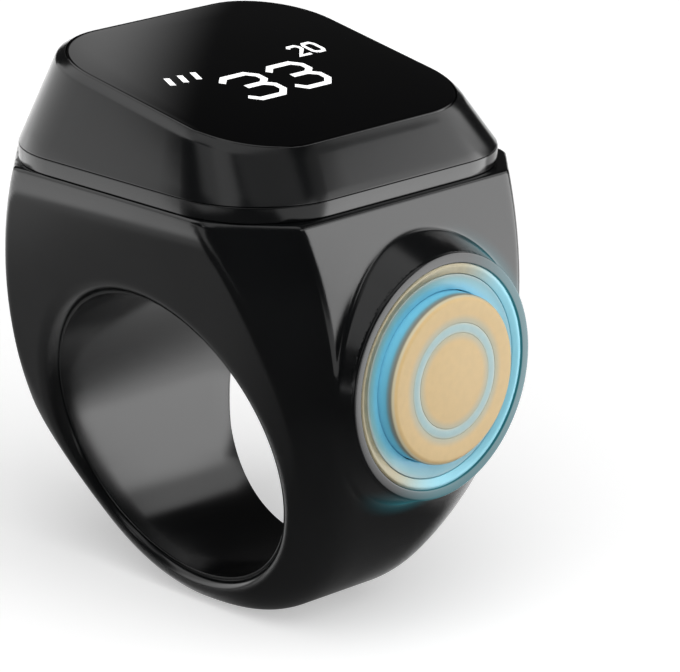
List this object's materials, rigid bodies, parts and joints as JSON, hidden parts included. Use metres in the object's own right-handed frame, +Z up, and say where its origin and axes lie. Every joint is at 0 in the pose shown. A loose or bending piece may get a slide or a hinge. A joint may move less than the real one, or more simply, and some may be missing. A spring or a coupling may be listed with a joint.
{
  "type": "digital tasbih counter",
  "caption": "Finger-worn digital tasbih counter: a ring with a tilted screen on top, a lit push button on its side and a rechargeable movement inside.",
  "frame": {"origin": "middle of the finger hole, on its axis", "axes": "+Y along the finger hole, +Z up through the screen, +X towards the push button"},
  "size_m": [0.033, 0.0262, 0.0369],
  "materials": {
    "gloss_black": "glossy moulded black plastic",
    "liner_black": "polished dark grey lining sleeve",
    "seal_rubber": "moulded black rubber",
    "screen_glass": "black-backed polished cover glass",
    "bonding_tape": "double-sided foam tape",
    "display_panel": "display glass over a dark panel",
    "inner_plastic": "moulded dark plastic",
    "flex_film": "amber polyimide film with copper tracks",
    "circuit_board": "green solder mask on glass-fibre board",
    "plated_steel": "nickel-plated steel",
    "chip_resin": "black moulding resin",
    "cell_foil": "laminated foil pouch",
    "lead_wire": "insulated stranded lead",
    "rotor_brass": "machined brass hub and disc",
    "dense_weight": "sintered dense metal",
    "gold_contact": "gold-plated contact",
    "plated_magnet": "nickel-plated magnet",
    "trim_metal": "satin champagne-gold trim",
    "lit_plastic": "translucent cyan light guide",
    "button_plastic": "satin champagne-gold lacquer",
    "inlay_plastic": "pale cyan inlaid ring",
    "led_resin": "clear-lens light-emitting diode",
    "plunger_plastic": "cream switch plunger"
  },
  "bodies": {
    "ring": {"ring_body": "gloss_black", "head_frame": "gloss_black", "head_housing": "gloss_black", "finger_liner": "liner_black", "body_gasket": "seal_rubber", "stem_seal": "seal_rubber", "cover_glass": "screen_glass", "glass_adhesive": "bonding_tape", "battery_tape": "bonding_tape", "oled_panel": "display_panel", "display_bracket": "inner_plastic", "button_bracket": "inner_plastic", "tact_switch": "inner_plastic", "display_flex": "flex_film", "charging_flex": "flex_film", "switch_flex": "flex_film", "main_board": "circuit_board", "led_board": "circuit_board", "board_screws": "plated_steel", "button_spring": "plated_steel", "motor_shaft": "plated_steel", "motor_can": "plated_steel", "bluetooth_chip": "chip_resin", "board_parts": "chip_resin", "battery": "cell_foil", "battery_leads": "lead_wire", "charging_pins": "gold_contact", "charger_magnets": "plated_magnet", "button_trim_ring": "trim_metal", "light_ring": "lit_plastic", "button_leds": "led_resin"},
    "button": {"button_cap": "button_plastic", "button_inlay_ring": "inlay_plastic", "stem_clip": "plated_steel", "switch_plunger": "plunger_plastic"},
    "rotor": {"motor_rotor": "rotor_brass", "motor_weight": "dense_weight"}
  },
  "joints": [
    {"name": "button_press", "type": "slide", "parent": "ring", "child": "button", "axis": [-1, 0, 0], "range_m": [0, 0.00035], "stiffness_N_per_m": 1500, "springref_m": -0.0003, "deforming": ["button_spring"]},
    {"name": "rotor_spin", "type": "hinge", "parent": "ring", "child": "rotor", "pos_m": [-0.0044, 0, 0.0185], "axis": [0, 0, 1], "continuous": true}
  ]
}
